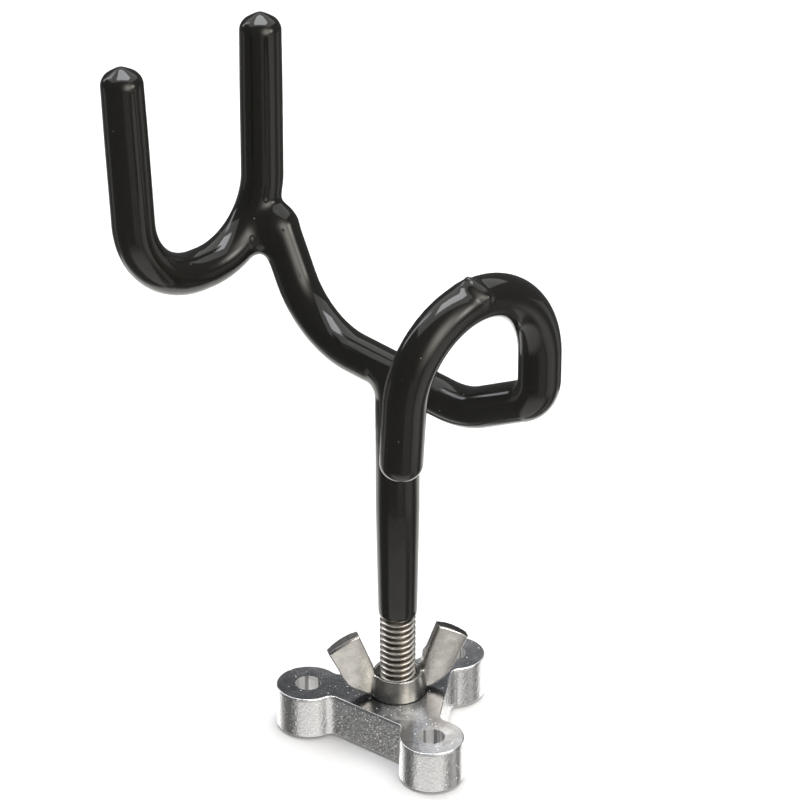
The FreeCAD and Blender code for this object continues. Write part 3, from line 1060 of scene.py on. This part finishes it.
def from_camera(right, back, up):
    """A place given along the camera's right, back towards the camera, and up."""
    a = math.radians(CAMERA_AZIMUTH_DEG)
    right_axis = Vector((math.cos(a), math.sin(a), 0))
    back_axis = Vector((math.sin(a), -math.cos(a), 0))
    return right_axis * right + back_axis * back + Vector((0, 0, up))


def camera():
    data = bpy.data.cameras.new("camera")
    data.lens = LENS_MM
    data.sensor_width = 36.0
    data.clip_start = 0.01
    ob = new_object("camera", data)
    aim = from_camera(CAMERA_AIM_RIGHT, 0, CAMERA_AIM_HEIGHT)
    e = math.radians(CAMERA_ELEVATION_DEG)
    offset = from_camera(0, CAMERA_DISTANCE * math.cos(e), CAMERA_DISTANCE * math.sin(e))
    ob.location = aim + offset
    ob.rotation_euler = (-offset).to_track_quat("-Z", "Y").to_euler()
    bpy.context.scene.camera = ob


def lobe(n, angle, centre_deg, half_width_deg, soft_deg):
    """One around a bearing and zero away from it."""
    off = n.math("SUBTRACT", angle, math.radians(centre_deg))
    wrap = n.add("ShaderNodeMath", operation="WRAP")
    n.link(off, wrap.inputs[0])
    wrap.inputs[1].default_value = math.pi
    wrap.inputs[2].default_value = -math.pi
    off = n.math("ABSOLUTE", wrap.outputs[0])
    outer = math.radians(half_width_deg + soft_deg)
    return n.ramp(off, outer, math.radians(half_width_deg), curve="SMOOTHSTEP")


def reflector_glow():
    """Cards laid out around the middle, some near it and some farther out."""
    n = Nodes("reflector")
    x, y, _ = n.axes()
    reach = level_distance(n, x, y)
    bearing = n.math("ARCTAN2", x, n.math("MULTIPLY", y, -1.0))
    near = n.ramp(reach, *NEAR_EDGE, curve="SMOOTHSTEP")
    far = n.math("SUBTRACT", 1.0, near)
    under = n.ramp(reach, *UNDER_EDGE, curve="SMOOTHSTEP")
    level = n.math("ADD", n.math("MULTIPLY", near, NEAR_LEVEL), n.math("MULTIPLY", far, FAR_LEVEL))
    for cards, zone in ((NEAR_CARDS, near), (FAR_CARDS, far), (UNDER_CARDS, under)):
        for centre, half, soft, amount in cards:
            part = product(n, lobe(n, bearing, centre, half, soft), zone, amount)
            level = n.math("MAXIMUM", level, part)
    glow = n.add("ShaderNodeEmission")
    n.link(level, glow.inputs["Strength"])
    glow.inputs["Color"].default_value = (*REFLECTOR_TINT, 1)
    n.link(glow.outputs[0], n.tree.nodes["Material Output"].inputs["Surface"])
    return n.material


def reflector():
    """Glowing cards under the floor, which only reflections see."""
    mesh = bpy.data.meshes.new("reflector")
    turns = [2 * math.pi * k / REFLECTOR_SIDES for k in range(REFLECTOR_SIDES)]
    around = [(REFLECTOR_R * math.cos(a), REFLECTOR_R * math.sin(a), 0) for a in turns]
    mesh.from_pydata(around, [], [tuple(range(REFLECTOR_SIDES))])
    ob = new_object("reflector", mesh)
    ob.location.z = CAD_BOX[0][2] - REFLECTOR_DEPTH
    ob.rotation_euler.z = math.radians(CAMERA_AZIMUTH_DEG)
    ob.visible_camera = False
    ob.visible_diffuse = False
    ob.visible_transmission = False
    ob.visible_volume_scatter = False
    ob.visible_shadow = False
    give(ob, reflector_glow())


def towards(azimuth_deg, elevation_deg, distance):
    """A place seen from the object at a bearing and an elevation."""
    a = math.radians(azimuth_deg)
    e = math.radians(elevation_deg)
    level = distance * math.cos(e)
    return from_camera(level * math.sin(a), level * math.cos(a), AIM_HEIGHT + distance * math.sin(e))


def direction(azimuth_deg, elevation_deg):
    return (towards(azimuth_deg, elevation_deg, 1.0) - towards(0, 0, 0)).normalized()


def softbox(name, azimuth_deg, elevation_deg, distance, size, radiance, tint):
    """An area light of a given brightness, whatever its size."""
    light = bpy.data.lights.new(name, "AREA")
    light.shape = "RECTANGLE"
    light.size, light.size_y = size
    light.energy = radiance * math.pi * size[0] * size[1]
    light.color = tint
    ob = new_object(name, light)
    place = towards(azimuth_deg, elevation_deg, distance)
    ob.location = place
    ob.rotation_euler = (Vector((0, 0, AIM_HEIGHT)) - place).to_track_quat("-Z", "Y").to_euler()
    return ob


def world_glow(tree, place, azimuth, elevation, tightness, amount, tint):
    """Light that is strongest from one direction and falls off around it."""
    dot = tree.nodes.new("ShaderNodeVectorMath")
    dot.operation = "DOT_PRODUCT"
    dot.inputs[1].default_value = direction(azimuth, elevation)
    tree.links.new(place, dot.inputs[0])
    value = dot.outputs["Value"]
    for operation, other in (("MAXIMUM", 0.0), ("POWER", tightness), ("MULTIPLY", amount)):
        step = tree.nodes.new("ShaderNodeMath")
        step.operation = operation
        step.inputs[1].default_value = other
        tree.links.new(value, step.inputs[0])
        value = step.outputs[0]
    glow = tree.nodes.new("ShaderNodeBackground")
    glow.inputs["Color"].default_value = (*tint, 1)
    tree.links.new(value, glow.inputs["Strength"])
    return glow.outputs[0]


def studio_world():
    """A dim room with soft glows in it."""
    world = bpy.data.worlds.new("studio")
    world.use_nodes = True
    tree = world.node_tree
    place = tree.nodes.new("ShaderNodeTexCoord").outputs["Generated"]
    room = tree.nodes["Background"]
    room.inputs["Color"].default_value = (*ROOM_TINT, 1)
    room.inputs["Strength"].default_value = ROOM_LEVEL
    total = room.outputs[0]
    for glow in GLOWS:
        both = tree.nodes.new("ShaderNodeAddShader")
        tree.links.new(total, both.inputs[0])
        tree.links.new(world_glow(tree, place, *glow), both.inputs[1])
        total = both.outputs[0]
    tree.links.new(total, tree.nodes["World Output"].inputs["Surface"])
    bpy.context.scene.world = world


def only_on(light, piece):
    """Keeps a light to one piece."""
    lit = bpy.data.collections.new(light.name + "_lit")
    lit.objects.link(piece)
    light.light_linking.receiver_collection = lit


def lights():
    """The rake lights the base alone, and the fill shows in no reflection."""
    made = {name: softbox(name, *spec) for name, spec in LIGHTS.items()}
    only_on(made["rake"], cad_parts["base"])
    made["fill"].visible_glossy = False
    studio_world()


# ---- assembly ----


def build():
    camera()
    floor()
    reflector()
    lights()
    skin = vinyl_skin()
    give(skin, black_vinyl())
    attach(skin, "holder")
    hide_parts("vinyl_coating")
    stud = threaded_stem()
    give(stud, thread_steel())
    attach(stud, "holder")
    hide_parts("stem")
    nut = wing_nut()
    give(nut, satin_nickel())
    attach(nut, "wing_nut")
    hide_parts("wing_nut")
    give(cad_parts["base"], cast_aluminium())
    for node in ("loop_rod", "fork_rod"):
        give(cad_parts[node], bare_steel("steel_" + node, ROD_STEEL))
    for node in ("fork_weld", "stem_weld"):
        give(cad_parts[node], bare_steel("bead_" + node, WELD_STEEL))
    bpy.context.scene.view_settings.view_transform = "Standard"


build()
